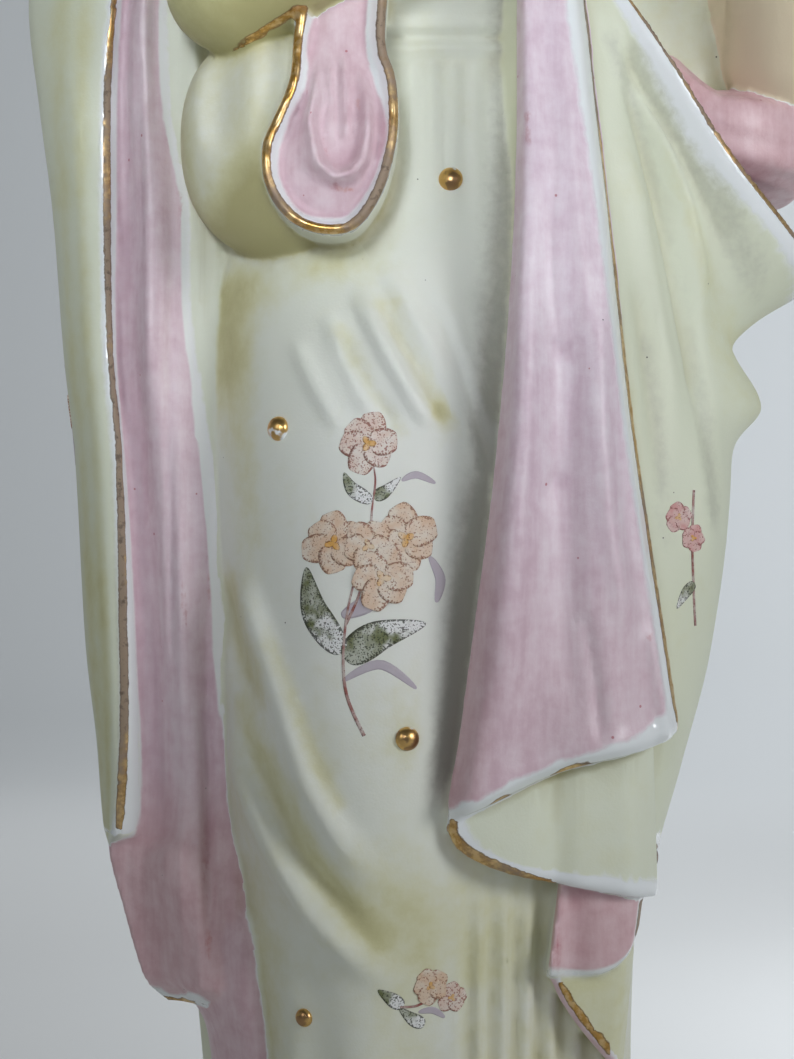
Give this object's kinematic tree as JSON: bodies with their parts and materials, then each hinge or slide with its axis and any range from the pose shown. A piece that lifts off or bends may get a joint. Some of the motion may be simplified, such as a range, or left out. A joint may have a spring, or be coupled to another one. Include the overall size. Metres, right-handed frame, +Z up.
{
  "type": "figurine",
  "caption": "Standing lady in a long gown and draped mantle, slip-cast in painted and gilded bisque porcelain on a low oval base, for display on a shelf",
  "frame": {"origin": "on the ground, at the middle of the flat underside of the oval base", "axes": "+Z up along the figure, -Y to the front where the figure faces, +X to the right of someone who looks at its face"},
  "size_m": [0.1484, 0.0934, 0.4025],
  "materials": {
    "bisque": "satin bisque porcelain in pale yellow and pink, with glossy white glaze bands and worn gilding"
  },
  "bodies": {
    "root": {"lady_figurine": "bisque"}
  },
  "joints": []
}
